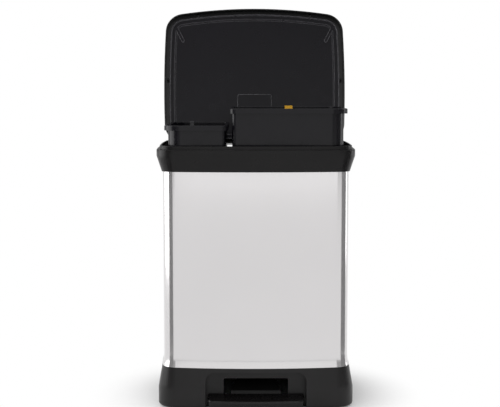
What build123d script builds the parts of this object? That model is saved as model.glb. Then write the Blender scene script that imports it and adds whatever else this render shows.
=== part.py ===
from build123d import *
import os
from math import asin, cos, degrees, radians, sin, sqrt

# Dual recycling pedal bin: two lift-out buckets of different widths under one lid, opened by a pedal.
# Sizes are in millimetres. The bin stands on z = 0, its front faces -Y and x = 0 is its middle.
# It stands here with the pedal down: the lid is open against its stop and both buckets are part-lifted.

# Plan of the collar and the lid
COLLAR_W = 384
COLLAR_D = 296
FRONT_BOW = 17
SIDE_BOW = 4
BACK_BOW = 5
CORNER_R = 40

# Fits and gaps
PIN_FIT = 0.06
SEAT_GAP = 0.3
BUCKET_FIT = 0.5
SIDE_PLAY = 0.6

# Base
FOOT_H = 2
FOOT_D = 26
FOOT_STEM_D = 9
FOOT_STEM_H = 7
FOOT_SIDE = 44
FOOT_END = 48
BASE_INSET = 1
BASE_WALL = 3
BASE_ROUND = 6
BASE_RIM_W = 4
WAIST_Z = 38
SEAM_Z = 80
SEAM_INSET = 8.5
DECK_DROP = 16
DECK_T = 3
FLANGE_H = 28
RIB_T = 2
RIB_H = 30
RIB_PITCH = 38
LONG_RIBS = 9
CROSS_RIBS = 3
RECESS_W = 193
RECESS_H = 72
RECESS_R = 18
RECESS_DEPTH = 28
WINDOW_W = 124
WINDOW_Z = 20
WINDOW_H = 37

# Metal sleeve
SLEEVE_INSET = 12
SLEEVE_T = 1.2
SLEEVE_FLARE = 3.2
FLARE_H = 24

# Collar
SHOULDER_Z = 498
LEDGE_DROP = 7.5
LEDGE_T = 3
BAND_H = 12.5
TAPER_H = 29.5
TAPER_WALL = 2
BAND_EDGE_R = 1.5
LIP_H = 7
LIP_INSET = 6
LIP_T = 3
SKIRT_H = 17
SKIRT_T = 3
GUIDE_LIP_T = 2.5
GUIDE_LIP_H = 8
NOTCH_SIDE = 37
NOTCH_FRONT = 8
NOTCH_DROP = 10

# Hinge
HINGE_IN = 4
HINGE_RISE = 2
HINGE_SIDE = 92
HINGE_PIN_D = 5
EAR_R = 5.5
EAR_T = 6
KNUCKLE_W = 7
KNUCKLE_R = 5
HINGE_SWEEP = 1
LID_SWING = 105

# Lid
LID_GAP = 0.3
LID_H = 24
LID_WALL = 2.6
LID_EDGE_R = 6
CROWN_R = 5200
PANEL_INSET = 11
PANEL_RIB_T = 2
PANEL_RIB_H = 5
PANEL_LEDGE_W = 8
PANEL_LEDGE_H = 2
PANEL_GROOVE_W = 2.6
PANEL_GROOVE_H = 1.4
PANEL_T = 3
PANEL_DROP = 14
GUSSET_T = 6
GUSSET_L = 36
GUSSET_SIDE = 32
GUSSET_END = 55
GUSSET_TURN = 63
BARE_PAD_W = 72
BARE_PAD_L = 28
BARE_PAD_H = 0.6
BARE_PAD_OUT = 91
POST_D = 9
POST_SIDE = 62
POST_END = 70
BUFFER_D = 4.6
BUFFER_H = 3.5
BUFFER_SIDE = 72

# Crank, push rod and its guides
CRANK_R = 17.1
CRANK_PIN_D = 5
CHEEK_R = 4.5
CHEEK_T = 3
CHEEK_X = 6
CRANK_PLATE_W = 34
CRANK_PLATE_L = 16
CRANK_PLATE_T = 2.5
CRANK_PAD_H = 5
CRANK_SCREW_X = 13
CRANK_SCREW_IN = 6
ROD_SET = 22
ROD_D = 6
ROD_ENGAGE = 9
HEAD_W = 9
HEAD_WALL = 3
HEAD_PLAY = 1
BOSS_D = 12
BOSS_H = 12
NUT_FLATS = 10
NUT_H = 5
GUIDE_W = 28
GUIDE_H = 14
GUIDE_LOW_RISE = 6
GUIDE_HIGH_DROP = 57
GUIDE_FRONT = 7
BAY_W = 26
BAY_DROP = 22
BAY_WALL = 6
DECK_HOLE_W = 18
DECK_HOLE_L = 20
PIN_HEAD_D = 8
PIN_HEAD_T = 1.5

# Pedal
AXLE_Y = -8
AXLE_Z = 36
AXLE_D = 6
AXLE_LUG_T = 5
AXLE_LUG_R = 8
AXLE_END = 3.5
CLIP_D = 12
CLIP_T = 1.2
LEVER_T = 3
LEVER_RISE = 6.5
LEVER_FLANGE_H = 11
LEVER_NECK_W = 96
LEVER_AXLE_W = 60
LEVER_TAIL_W = 22
LEVER_TAIL_OUT = 8
LEVER_FORK_L = 14
LEVER_FLANGE_IN = 25
LEVER_BEND = 3
LEVER_PIN_D = 5
FOOT_EYE_W = 13
FOOT_EYE_WALL = 4
FOOT_EYE_PLAY = 0.4
TREAD_SIDE_GAP = 4
TREAD_L = 34
TREAD_GAP = 3
TREAD_BACK_RISE = 3.3
TREAD_SLOPE = 8.7
TREAD_WALL = 2.6
TREAD_FACE_H = 14
TREAD_BACK_H = 10
TREAD_BACK_IN = 3
TREAD_TIP_IN = 7
TREAD_EDGE_R = 3.5
TREAD_CORNER_R = 12
TREAD_BOSS_D = 9
TREAD_BOSS_H = 3
TREAD_SCREW_X = 30
TREAD_SCREW_Y = -17

# Screws
SCREW_D = 4
SCREW_HEAD_D = 7.5
SCREW_HEAD_H = 2.2
SCREW_BITE = 4

# Buckets
BUCKET_FLOOR_GAP = 3.3
BUCKET_WALL = 2.2
BUCKET_GUIDE_H = 112
BUCKET_DRAFT = 9
BUCKET_FOOT_R = 8
RIM_OUT = 7.5
RIM_INNER_OUT = 4
RIM_H = 9.5
RIM_EDGE_R = 2
RIM_SIDE_GAP = 8
RIM_FRONT_GAP = 11
RIM_BACK_GAP = 4
RIM_GAP = 4
SMALL_RIM_W = 122
OUTER_R = 28
INNER_R = 9
SMALL_LIFT = 43
LARGE_LIFT = 75
RIM_CLIP_T = 1.6
RIM_CLIP_DROP = 10
YELLOW_CLIP_W = 16
YELLOW_CLIP_ASIDE = 7
DARK_CLIP_W = 9
DARK_CLIP_ASIDE = -16

# Worked out from the sizes above
FOOT_SPREAD_X = COLLAR_W / 2 - FOOT_SIDE
FOOT_SPREAD_Y = COLLAR_D / 2 - FOOT_END
DECK_Z = SEAM_Z - DECK_DROP
RECESS_BACK_Y = RECESS_DEPTH - COLLAR_D / 2
LEDGE_Z = SHOULDER_Z - LEDGE_DROP
NOTCH_Z = SHOULDER_Z - NOTCH_DROP
BAY_Z = SHOULDER_Z - BAY_DROP
BAY_BACK_Y = COLLAR_D / 2 - BAY_WALL
HINGE_X = COLLAR_W / 2 - HINGE_SIDE
HINGE_Y = COLLAR_D / 2 - HINGE_IN
HINGE_Z = SHOULDER_Z + HINGE_RISE
LID_TOP_Z = SHOULDER_Z + LID_H
PANEL_Z = LID_TOP_Z - PANEL_DROP
ROD_Y = HINGE_Y - ROD_SET
GUIDE_LOW_Z = SEAM_Z + GUIDE_LOW_RISE
GUIDE_HIGH_Z = SHOULDER_Z - GUIDE_HIGH_DROP
BAND_Z = SHOULDER_Z - BAND_H
COLLAR_FOOT_Z = BAND_Z - TAPER_H
LIP_Z = SHOULDER_Z + LIP_H
SLEEVE_TOP_Z = LEDGE_Z - LEDGE_T
SLOT_INSET = SLEEVE_INSET - SEAT_GAP
SKIRT_INSET = SLEEVE_INSET + SLEEVE_T + SEAT_GAP
GUIDE_WALL_INSET = SKIRT_INSET + SKIRT_T
SKIRT_Z = SLEEVE_TOP_Z - SKIRT_H
CRANK_PLATE_Z = PANEL_Z - CRANK_PAD_H - CRANK_PLATE_T
CRANK_PAD_Y = COLLAR_D / 2 - PANEL_INSET - PANEL_RIB_T - SIDE_PLAY - CRANK_PLATE_L
CRANK_SCREW_Y = CRANK_PAD_Y + CRANK_SCREW_IN
ROD_TRAVEL = 2 * CRANK_R * sin(radians(LID_SWING / 2))
CRANK_END_Y = HINGE_Y - CRANK_R * cos(radians(LID_SWING / 2))
CRANK_MID_Y = HINGE_Y - CRANK_R
CRANK_OPEN_Z = HINGE_Z + ROD_TRAVEL / 2
CRANK_SHUT_Z = HINGE_Z - ROD_TRAVEL / 2
LEVER_REAR = ROD_Y - AXLE_Y
PEDAL_TILT = degrees(asin(ROD_TRAVEL / 2 / LEVER_REAR))
TAIL_PIN_Z = AXLE_Z + ROD_TRAVEL / 2
TAIL_END_Y = AXLE_Y + LEVER_REAR * cos(radians(PEDAL_TILT))
BUFFER_INSET = LIP_INSET + LIP_T / 2
TREAD_W = RECESS_W - 2 * TREAD_SIDE_GAP
TREAD_BACK_Y = RECESS_BACK_Y - TREAD_GAP
LARGE_RIGHT = COLLAR_W / 2 - LIP_INSET - LIP_T - RIM_SIDE_GAP
SMALL_LEFT = -LARGE_RIGHT
SMALL_RIGHT = SMALL_LEFT + SMALL_RIM_W
LARGE_LEFT = SMALL_RIGHT + RIM_GAP
RIM_FRONT_Y = LIP_INSET + LIP_T + RIM_FRONT_GAP - COLLAR_D / 2
RIM_BACK_Y = ROD_Y - BOSS_D / 2 - RIM_BACK_GAP
BUCKET_Y = (RIM_FRONT_Y + RIM_BACK_Y) / 2
BUCKET_D = RIM_BACK_Y - RIM_FRONT_Y - 2 * RIM_OUT
SEATED_TOP = LEDGE_Z + SEAT_GAP + RIM_H
BUCKET_H = SEATED_TOP - DECK_Z - BUCKET_FLOOR_GAP
EAR_OFFSET = KNUCKLE_W / 2 + SIDE_PLAY + EAR_T / 2
LUG_X = LEVER_AXLE_W / 2 + SIDE_PLAY + AXLE_LUG_T / 2
BAY_FRONT_Y = ROD_Y - BOSS_D / 2 - SIDE_PLAY
EYE_H = LEVER_PIN_D + 2 * FOOT_EYE_PLAY + 2 * FOOT_EYE_WALL
HEAD_H = CRANK_PIN_D + 2 * HEAD_PLAY + 2 * HEAD_WALL

# Frames: the lid is drawn in the frame that it has when shut, and the pedal in its level frame
LID = Plane(
    Location((0, HINGE_Y, HINGE_Z)) * Location((0, 0, 0), (-LID_SWING, 0, 0)) * Location((0, -HINGE_Y, -HINGE_Z))
)
PEDAL = Plane(
    Location((0, AXLE_Y, AXLE_Z)) * Location((0, 0, 0), (PEDAL_TILT, 0, 0)) * Location((0, -AXLE_Y, -AXLE_Z))
)
TREAD = Plane(PEDAL.location * Location((0, TREAD_BACK_Y, AXLE_Z + TREAD_BACK_RISE), (TREAD_SLOPE, 0, 0)))


def side_of(frame, x=0):
    """The plane square to X at x: its own axes are the frame's Y and Z."""
    return Plane(frame.origin, x_dir=frame.y_dir, z_dir=frame.x_dir).offset(x)


# Plan of the collar's outer edge: four bowed sides with round corners
half_w = COLLAR_W / 2 - SIDE_BOW
front_y = FRONT_BOW - COLLAR_D / 2
back_y = COLLAR_D / 2 - BACK_BOW
middle_y = (front_y + back_y) / 2
with BuildSketch() as collar_plan:
    with BuildLine():
        ThreePointArc((-half_w, front_y), (0, front_y - FRONT_BOW), (half_w, front_y))
        ThreePointArc((half_w, front_y), (half_w + SIDE_BOW, middle_y), (half_w, back_y))
        ThreePointArc((half_w, back_y), (0, back_y + BACK_BOW), (-half_w, back_y))
        ThreePointArc((-half_w, back_y), (-half_w - SIDE_BOW, middle_y), (-half_w, front_y))
    make_face()
    fillet(collar_plan.vertices(), CORNER_R)


def plan(inset, z, frame=Plane.XY):
    """The bin's plan at height z of a frame: each arc of the collar's plan moved in toward its centre."""
    with BuildSketch(frame.offset(z)) as outline:
        with BuildLine():
            for arc in collar_plan.edges():
                spots = (arc @ 0, arc @ 0.5, arc @ 1)
                ThreePointArc(*[spot + (arc.arc_center - spot).normalized() * inset for spot in spots])
        make_face()
    return outline.sketch


def front_line(x, inset):
    """Where the bowed front lies at x, inset from the collar's edge."""
    bow_r = (half_w**2 + FRONT_BOW**2) / (2 * FRONT_BOW)
    return bow_r - COLLAR_D / 2 - sqrt((bow_r - inset) ** 2 - x**2)


def tub_plan(z, left, right, depth, left_r, right_r):
    """A bucket's plan at height z between two sides, with its own corner radius at each side."""
    with BuildSketch(Plane.XY.offset(z)) as outline:
        with Locations(((left + right) / 2, BUCKET_Y)):
            Rectangle(right - left, depth)
        fillet(outline.vertices().group_by(Axis.X)[0], left_r)
        fillet(outline.vertices().group_by(Axis.X)[-1], right_r)
    return outline.sketch


def grown(tub, out):
    """A bucket's plan sizes grown all round by out."""
    left, right, depth, left_r, right_r = tub
    return left - out, right + out, depth + 2 * out, left_r + out, right_r + out


def drafted(tub):
    """A bucket's plan sizes at its foot, drawn in by the draft with the corners kept."""
    left, right, depth, left_r, right_r = tub
    return left + BUCKET_DRAFT, right - BUCKET_DRAFT, depth - 2 * BUCKET_DRAFT, left_r, right_r


def pin(radius, length, frame, y, z, x=0):
    """A round pin along X about the point x, y, z of a frame."""
    with BuildPart() as bar:
        with BuildSketch(side_of(frame, x)):
            with Locations((y, z)):
                Circle(radius)
        extrude(amount=length / 2, both=True)
    return bar.part


def screw(plane, x, y, bite, grip):
    """A pan-head screw whose head bears on the plane from below and whose shank goes up through grip."""
    with BuildPart() as fastener:
        with BuildSketch(plane):
            with Locations((x, y)):
                Circle(SCREW_HEAD_D / 2)
        extrude(amount=-SCREW_HEAD_H)
        fillet(fastener.faces().sort_by(Axis(plane.origin, plane.z_dir))[0].edges(), SCREW_HEAD_H / 2)
        with BuildSketch(plane):
            with Locations((x, y)):
                Circle(SCREW_D / 2)
        extrude(amount=grip + bite)
    return fastener.part


# Base: a moulded shell with an inturned foot rim, a pedal recess, a deck and a flange for the sleeve
with BuildPart() as base_form:
    extrude(plan(BASE_INSET, FOOT_H), amount=WAIST_Z - FOOT_H)
    fillet(base_form.faces().sort_by(Axis.Z)[0].edges(), BASE_ROUND)
    loft([plan(BASE_INSET, WAIST_Z).face(), plan(SEAM_INSET, SEAM_Z).face()], ruled=True)

with BuildPart() as recess_liner:
    with BuildSketch(Plane.XZ.offset(-RECESS_BACK_Y - BASE_WALL)):
        with Locations((0, RECESS_H / 2 - RECESS_R)):
            RectangleRounded(RECESS_W + 2 * BASE_WALL, RECESS_H + 2 * BASE_WALL + 2 * RECESS_R, RECESS_R + BASE_WALL)
    extrude(amount=COLLAR_D / 2 + RECESS_BACK_Y + BASE_WALL)
    add(base_form.part, mode=Mode.INTERSECT)

with BuildPart() as base_ribs:
    with Locations((0, 0, DECK_Z - RIB_H / 2)):
        with GridLocations(RIB_PITCH, 0, LONG_RIBS, 1):
            Box(RIB_T, COLLAR_D, RIB_H)
        with GridLocations(0, 2 * RIB_PITCH, 1, CROSS_RIBS):
            Box(COLLAR_W, RIB_T, RIB_H)
        Box(LEVER_NECK_W + RIB_PITCH, COLLAR_D, RIB_H, mode=Mode.SUBTRACT)
    add(base_form.part, mode=Mode.INTERSECT)

with BuildPart() as base_shell:
    add(base_form.part)
    extrude(plan(SKIRT_INSET, SEAM_Z), amount=FLANGE_H)
    extrude(plan(GUIDE_WALL_INSET, DECK_Z), amount=SEAM_Z - DECK_Z + FLANGE_H, mode=Mode.SUBTRACT)
    extrude(plan(BASE_INSET + BASE_ROUND + BASE_RIM_W, FOOT_H), amount=BASE_WALL, mode=Mode.SUBTRACT)
    rim_top_z = FOOT_H + BASE_WALL
    extrude(plan(BASE_INSET + BASE_WALL, rim_top_z), amount=WAIST_Z - rim_top_z, mode=Mode.SUBTRACT)
    loft(
        [
            plan(BASE_INSET + BASE_WALL, WAIST_Z).face(),
            plan(SEAM_INSET + BASE_WALL, DECK_Z - DECK_T).face(),
        ],
        ruled=True,
        mode=Mode.SUBTRACT,
    )
    add(base_ribs.part)
    with GridLocations(2 * FOOT_SPREAD_X, 2 * FOOT_SPREAD_Y, 2, 2):
        with Locations((0, 0, FOOT_H)):
            Cylinder(
                FOOT_D / 2 + RIB_T,
                DECK_Z - FOOT_H,
                align=(Align.CENTER, Align.CENTER, Align.MIN),
            )
            Cylinder(
                FOOT_STEM_D / 2,
                FOOT_STEM_H + SEAT_GAP,
                align=(Align.CENTER, Align.CENTER, Align.MIN),
                mode=Mode.SUBTRACT,
            )
    add(recess_liner.part)
    with BuildSketch(Plane.XZ.offset(-RECESS_BACK_Y)):
        with Locations((0, RECESS_H / 2 - RECESS_R)):
            RectangleRounded(RECESS_W, RECESS_H + 2 * RECESS_R, RECESS_R)
    extrude(amount=COLLAR_D / 2, mode=Mode.SUBTRACT)
    with BuildSketch(Plane.XZ.offset(-RECESS_BACK_Y - 2 * BASE_WALL)):
        with Locations((0, WINDOW_Z + WINDOW_H / 2)):
            RectangleRounded(WINDOW_W, WINDOW_H, BASE_WALL)
    extrude(amount=3 * BASE_WALL, mode=Mode.SUBTRACT)
    # lugs that carry the pedal's axle, and the hole that the rod's foot rises through
    for lug_x in (-LUG_X, LUG_X):
        with BuildSketch(side_of(Plane.XY, lug_x)):
            with Locations((AXLE_Y, AXLE_Z)):
                Circle(AXLE_LUG_R)
            with Locations((AXLE_Y, DECK_Z - DECK_T / 2)):
                Rectangle(3 * AXLE_LUG_R, DECK_T)
            make_hull()
        extrude(amount=AXLE_LUG_T / 2, both=True)
    with Locations((0, ROD_Y, DECK_Z)):
        Box(DECK_HOLE_W, DECK_HOLE_L, 4 * DECK_T, mode=Mode.SUBTRACT)
    add(pin(AXLE_D / 2 + PIN_FIT, 2 * LUG_X + 2 * AXLE_LUG_T, Plane.XY, AXLE_Y, AXLE_Z), mode=Mode.SUBTRACT)
base_shell.part.label = "base_shell"

# Rubber feet: a pad under each corner boss, with a stem pressed into it
with BuildPart() as base_feet:
    with GridLocations(2 * FOOT_SPREAD_X, 2 * FOOT_SPREAD_Y, 2, 2):
        Cylinder(FOOT_D / 2, FOOT_H, align=(Align.CENTER, Align.CENTER, Align.MIN))
        with Locations((0, 0, FOOT_H)):
            Cylinder(
                FOOT_STEM_D / 2 - PIN_FIT,
                FOOT_STEM_H,
                align=(Align.CENTER, Align.CENTER, Align.MIN),
            )
    fillet(base_feet.faces().group_by(Axis.Z)[0].edges(), FOOT_H / 3)
base_feet.part.label = "base_feet"


def sleeve_form(gap):
    """The solid inside the sleeve's surface that lies gap inside its outer one, flared out at its foot."""
    flare_z = SEAM_Z + FLARE_H
    with BuildPart() as form:
        extrude(plan(SLEEVE_INSET + gap, flare_z), amount=SLEEVE_TOP_Z - flare_z)
        loft(
            [
                plan(SLEEVE_INSET + gap - share**2 * SLEEVE_FLARE, flare_z - share * FLARE_H).face()
                for share in (0, 0.5, 1)
            ]
        )
    return form.part


# Sleeve: bent sheet metal between the base's shoulder and the collar's ledge, notched for the rod's head
with BuildPart() as body_sleeve:
    add(sleeve_form(0))
    add(sleeve_form(SLEEVE_T), mode=Mode.SUBTRACT)
    with Locations((0, COLLAR_D / 2, BAY_Z)):
        Box(BAY_W, COLLAR_D / 4, SLEEVE_TOP_Z, align=(Align.CENTER, Align.CENTER, Align.MIN), mode=Mode.SUBTRACT)
body_sleeve.part.label = "body_sleeve"

# Collar: a tapered band over the sleeve's top, with the lip under the lid and the ledge the rims hang on
mouth = grown((SMALL_LEFT + RIM_OUT, LARGE_RIGHT - RIM_OUT, BUCKET_D, OUTER_R, OUTER_R), BUCKET_FIT)

with BuildPart() as guide_tab:
    extrude(plan(SKIRT_INSET, GUIDE_HIGH_Z), amount=SKIRT_Z - GUIDE_HIGH_Z)
    extrude(plan(GUIDE_WALL_INSET, GUIDE_HIGH_Z), amount=SKIRT_Z - GUIDE_HIGH_Z, mode=Mode.SUBTRACT)
    with Locations((0, COLLAR_D / 2, GUIDE_HIGH_Z)):
        Box(GUIDE_W, COLLAR_D / 2, COLLAR_D, mode=Mode.INTERSECT)

with BuildPart() as collar:
    loft([plan(SLOT_INSET - TAPER_WALL, COLLAR_FOOT_Z).face(), plan(0, BAND_Z).face()], ruled=True)
    extrude(plan(0, BAND_Z), amount=BAND_H)
    fillet(collar.faces().sort_by(Axis.Z)[-1].edges(), BAND_EDGE_R)
    extrude(plan(LIP_INSET, SHOULDER_Z), amount=LIP_H)
    fillet(collar.faces().sort_by(Axis.Z)[-1].edges(), LIP_T / 4)
    extrude(plan(LIP_INSET + LIP_T, LEDGE_Z), amount=LIP_Z - LEDGE_Z, mode=Mode.SUBTRACT)
    extrude(plan(SLOT_INSET, COLLAR_FOOT_Z), amount=SLEEVE_TOP_Z - COLLAR_FOOT_Z, mode=Mode.SUBTRACT)
    extrude(plan(SKIRT_INSET, SKIRT_Z), amount=SLEEVE_TOP_Z - SKIRT_Z)
    extrude(plan(GUIDE_WALL_INSET, SKIRT_Z), amount=SLEEVE_TOP_Z - SKIRT_Z, mode=Mode.SUBTRACT)
    extrude(tub_plan(SLEEVE_TOP_Z - GUIDE_LIP_H, *grown(mouth, GUIDE_LIP_T)), amount=GUIDE_LIP_H)
    extrude(tub_plan(SKIRT_Z, *mouth), amount=LIP_Z - SKIRT_Z, mode=Mode.SUBTRACT)
    with Locations((0, HINGE_Y - NOTCH_FRONT, NOTCH_Z)):
        Box(
            COLLAR_W - 2 * NOTCH_SIDE,
            COLLAR_D,
            LIP_Z,
            align=(Align.CENTER, Align.MIN, Align.MIN),
            mode=Mode.SUBTRACT,
        )
    # hinge ears, one each side of each knuckle of the lid
    for hinge_x in (-HINGE_X, HINGE_X):
        for ear_x in (hinge_x - EAR_OFFSET, hinge_x + EAR_OFFSET):
            with BuildSketch(side_of(Plane.XY, ear_x)):
                with Locations((HINGE_Y, HINGE_Z)):
                    Circle(EAR_R)
                with Locations((HINGE_Y - EAR_R / 2, NOTCH_Z - EAR_R / 2)):
                    Rectangle(2 * EAR_R, EAR_R)
                make_hull()
            extrude(amount=EAR_T / 2, both=True)
        add(
            pin(HINGE_PIN_D / 2 + PIN_FIT, 4 * EAR_OFFSET, Plane.XY, HINGE_Y, HINGE_Z, hinge_x),
            mode=Mode.SUBTRACT,
        )
    add(guide_tab.part)
    # bay that the rod's head and the crank's cheeks move in
    with Locations((0, BAY_FRONT_Y, BAY_Z)):
        Box(
            BAY_W,
            BAY_BACK_Y - BAY_FRONT_Y,
            LIP_Z,
            align=(Align.CENTER, Align.MIN, Align.MIN),
            mode=Mode.SUBTRACT,
        )
collar.part.label = "collar"

# Hinge pins: one through each pair of ears, flush with their outer faces
with BuildPart() as hinge_pins:
    for hinge_x in (-HINGE_X, HINGE_X):
        add(pin(HINGE_PIN_D / 2, 2 * EAR_OFFSET + EAR_T, Plane.XY, HINGE_Y, HINGE_Z, hinge_x))
hinge_pins.part.label = "hinge_pins"


def guide_block(z):
    """A rod guide whose back fits the curve of the wall that carries it, with a running bore for the rod."""
    with BuildPart() as block:
        with BuildSketch(Plane.XY.offset(z)):
            with Locations((0, ROD_Y - GUIDE_FRONT)):
                Rectangle(GUIDE_W, COLLAR_D / 2, align=(Align.CENTER, Align.MIN))
        extrude(amount=GUIDE_H)
        fillet(block.edges().filter_by(Axis.Z).group_by(Axis.Y)[0], GUIDE_FRONT / 2)
        extrude(plan(GUIDE_WALL_INSET, z), amount=GUIDE_H, mode=Mode.INTERSECT)
        with Locations((0, ROD_Y, z)):
            Cylinder(ROD_D / 2 + PIN_FIT, 2 * GUIDE_H, mode=Mode.SUBTRACT)
    return block.part


# Rod guides: two equal moulded blocks, one on the base's flange and one on the collar's tab
with BuildPart() as rod_guides:
    for guide_z in (GUIDE_LOW_Z, GUIDE_HIGH_Z):
        add(guide_block(guide_z))
rod_guides.part.label = "rod_guides"

# Pedal axle: a steel rod through the base's lugs, kept by a spring clip outside each lug
with BuildPart() as pedal_axle:
    add(pin(AXLE_D / 2, 2 * LUG_X + AXLE_LUG_T + 2 * AXLE_END, Plane.XY, AXLE_Y, AXLE_Z))
pedal_axle.part.label = "pedal_axle"

with BuildPart() as axle_clips:
    clip_x = LUG_X + AXLE_LUG_T / 2 + SIDE_PLAY + CLIP_T / 2
    for side_x in (-clip_x, clip_x):
        with BuildSketch(side_of(Plane.XY, side_x)):
            with Locations((AXLE_Y, AXLE_Z)):
                Circle(CLIP_D / 2)
                Circle(AXLE_D / 2, mode=Mode.SUBTRACT)
        extrude(amount=CLIP_T / 2, both=True)
axle_clips.part.label = "axle_clips"


def in_pedal(y, z):
    """A point of the tread's own frame, as the pedal's frame has it on its side plane."""
    spot = PEDAL.to_local_coords(TREAD.from_local_coords(Vector(0, y, z)))
    return spot.Y, spot.Z


def lever_plan(inset, z):
    """The lever's outline from above: wide at the neck, straight at the axle, tapering to the narrow tail."""
    corners = [
        (LEVER_NECK_W / 2, TREAD_BACK_Y - TREAD_L),
        (LEVER_NECK_W / 2, RECESS_BACK_Y + LEVER_FLANGE_IN),
        (LEVER_AXLE_W / 2, AXLE_Y - 2 * AXLE_LUG_R),
        (LEVER_AXLE_W / 2, AXLE_Y),
        (LEVER_TAIL_W / 2, ROD_Y - LEVER_FORK_L),
        (LEVER_TAIL_W / 2, ROD_Y + LEVER_TAIL_OUT),
    ]
    with BuildSketch(PEDAL.offset(z)) as outline:
        with BuildLine():
            Polyline(*corners, *[(-x, y) for x, y in reversed(corners)], close=True)
        make_face()
        if inset > 0:
            offset(amount=-inset)
    return outline.sketch


# Pedal lever: pressed steel, bent down under the tread, flanged from the neck back and forked at the tail
lever_z = AXLE_Z + LEVER_RISE
tab_z = -TREAD_WALL - TREAD_BOSS_H - LEVER_T / 2
flange_foot_z = lever_z - LEVER_T / 2 - LEVER_FLANGE_H
with BuildPart() as lever_strip:
    with BuildSketch(side_of(PEDAL)):
        with BuildLine():
            Polyline(
                in_pedal(TREAD_TIP_IN - TREAD_L, tab_z),
                in_pedal(-LEVER_BEND, tab_z),
                (RECESS_BACK_Y + BASE_WALL, lever_z),
                (ROD_Y + LEVER_TAIL_OUT, lever_z),
            )
        trace(line_width=LEVER_T)
    extrude(amount=LEVER_NECK_W / 2, both=True)
    extrude(lever_plan(0, 0), amount=2 * lever_z, mode=Mode.INTERSECT)

with BuildPart() as lever_flanges:
    extrude(lever_plan(0, flange_foot_z), amount=LEVER_FLANGE_H)
    extrude(lever_plan(LEVER_T, flange_foot_z), amount=LEVER_FLANGE_H, mode=Mode.SUBTRACT)
    with BuildSketch(PEDAL.offset(flange_foot_z)):
        with Locations((0, RECESS_BACK_Y + LEVER_FLANGE_IN)):
            Rectangle(2 * LEVER_NECK_W, COLLAR_D, align=(Align.CENTER, Align.MIN))
    extrude(amount=LEVER_FLANGE_H, mode=Mode.INTERSECT)

with BuildPart() as pedal_lever:
    add(lever_strip.part)
    add(lever_flanges.part)
    with BuildSketch(PEDAL.offset(flange_foot_z)):
        with Locations((0, ROD_Y - LEVER_FORK_L)):
            Rectangle(LEVER_TAIL_W - 2 * LEVER_T, COLLAR_D, align=(Align.CENTER, Align.MIN))
    extrude(amount=2 * LEVER_FLANGE_H, mode=Mode.SUBTRACT)
    add(pin(AXLE_D / 2 + PIN_FIT, LEVER_NECK_W, PEDAL, AXLE_Y, AXLE_Z), mode=Mode.SUBTRACT)
    add(pin(LEVER_PIN_D / 2 + PIN_FIT, LEVER_NECK_W, PEDAL, ROD_Y, AXLE_Z), mode=Mode.SUBTRACT)
    with BuildSketch(TREAD.offset(tab_z - LEVER_T)):
        with Locations((-TREAD_SCREW_X, TREAD_SCREW_Y), (TREAD_SCREW_X, TREAD_SCREW_Y)):
            Circle(SCREW_D / 2 + PIN_FIT)
    extrude(amount=2 * LEVER_T, mode=Mode.SUBTRACT)
pedal_lever.part.label = "pedal_lever"

# Lever pin: a headed pin through the fork, on which the rod's foot rides
with BuildPart() as lever_pin:
    add(pin(LEVER_PIN_D / 2, LEVER_TAIL_W, PEDAL, ROD_Y, AXLE_Z))
    for head_x in (-LEVER_TAIL_W / 2 - PIN_HEAD_T / 2, LEVER_TAIL_W / 2 + PIN_HEAD_T / 2):
        add(pin(PIN_HEAD_D / 2, PIN_HEAD_T, PEDAL, ROD_Y, AXLE_Z, head_x))
lever_pin.part.label = "lever_pin"


def tread_plan(inset, z):
    """The tread's outline from above, inset at the front and sides: its front bows with the base."""
    half_w = TREAD_W / 2 - inset
    sag = front_line(half_w, BASE_INSET) - front_line(0, BASE_INSET)
    nose = inset - TREAD_L
    with BuildSketch(TREAD.offset(z)) as outline:
        with BuildLine():
            ThreePointArc((-half_w, nose + sag), (0, nose), (half_w, nose + sag))
            Polyline((half_w, nose + sag), (half_w, 0), (-half_w, 0), (-half_w, nose + sag))
        make_face()
        fillet(outline.vertices().group_by(Axis.Y)[0], TREAD_CORNER_R - inset)
    return outline.sketch


# Pedal tread: a moulded cap with rounded edges over the lever's bent end, with bosses for its screws
with BuildPart() as pedal_tread:
    extrude(tread_plan(0, -2 * TREAD_FACE_H), amount=2 * TREAD_FACE_H)
    with BuildSketch(side_of(TREAD)):
        Polygon(
            (0, 0),
            (-TREAD_L, 0),
            (-TREAD_L, -TREAD_FACE_H),
            (-TREAD_BACK_IN, -TREAD_BACK_H),
            align=None,
        )
    extrude(amount=TREAD_W, both=True, mode=Mode.INTERSECT)
    fillet(
        [
            edge
            for edge in pedal_tread.faces().sort_by(Axis(TREAD.origin, TREAD.z_dir))[-1].edges()
            if TREAD.to_local_coords(edge.center()).Y < -TREAD_EDGE_R
        ],
        TREAD_EDGE_R,
    )
    extrude(
        tread_plan(TREAD_WALL, -TREAD_WALL),
        amount=-2 * TREAD_FACE_H,
        mode=Mode.SUBTRACT,
    )
    with BuildSketch(TREAD.offset(-TREAD_WALL)):
        with Locations((-TREAD_SCREW_X, TREAD_SCREW_Y), (TREAD_SCREW_X, TREAD_SCREW_Y)):
            Circle(TREAD_BOSS_D / 2)
    extrude(amount=-TREAD_BOSS_H)
    with BuildSketch(TREAD.offset(-TREAD_WALL - TREAD_BOSS_H)):
        with Locations((-TREAD_SCREW_X, TREAD_SCREW_Y), (TREAD_SCREW_X, TREAD_SCREW_Y)):
            Circle(SCREW_D / 2)
    extrude(amount=SCREW_BITE, mode=Mode.SUBTRACT)
pedal_tread.part.label = "pedal_tread"

# Tread screws: up through the lever's bent end into the tread's bosses
with BuildPart() as tread_screws:
    for screw_x in (-TREAD_SCREW_X, TREAD_SCREW_X):
        add(screw(TREAD.offset(tab_z - LEVER_T / 2), screw_x, TREAD_SCREW_Y, SCREW_BITE, LEVER_T))
tread_screws.part.label = "tread_screws"


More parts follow.
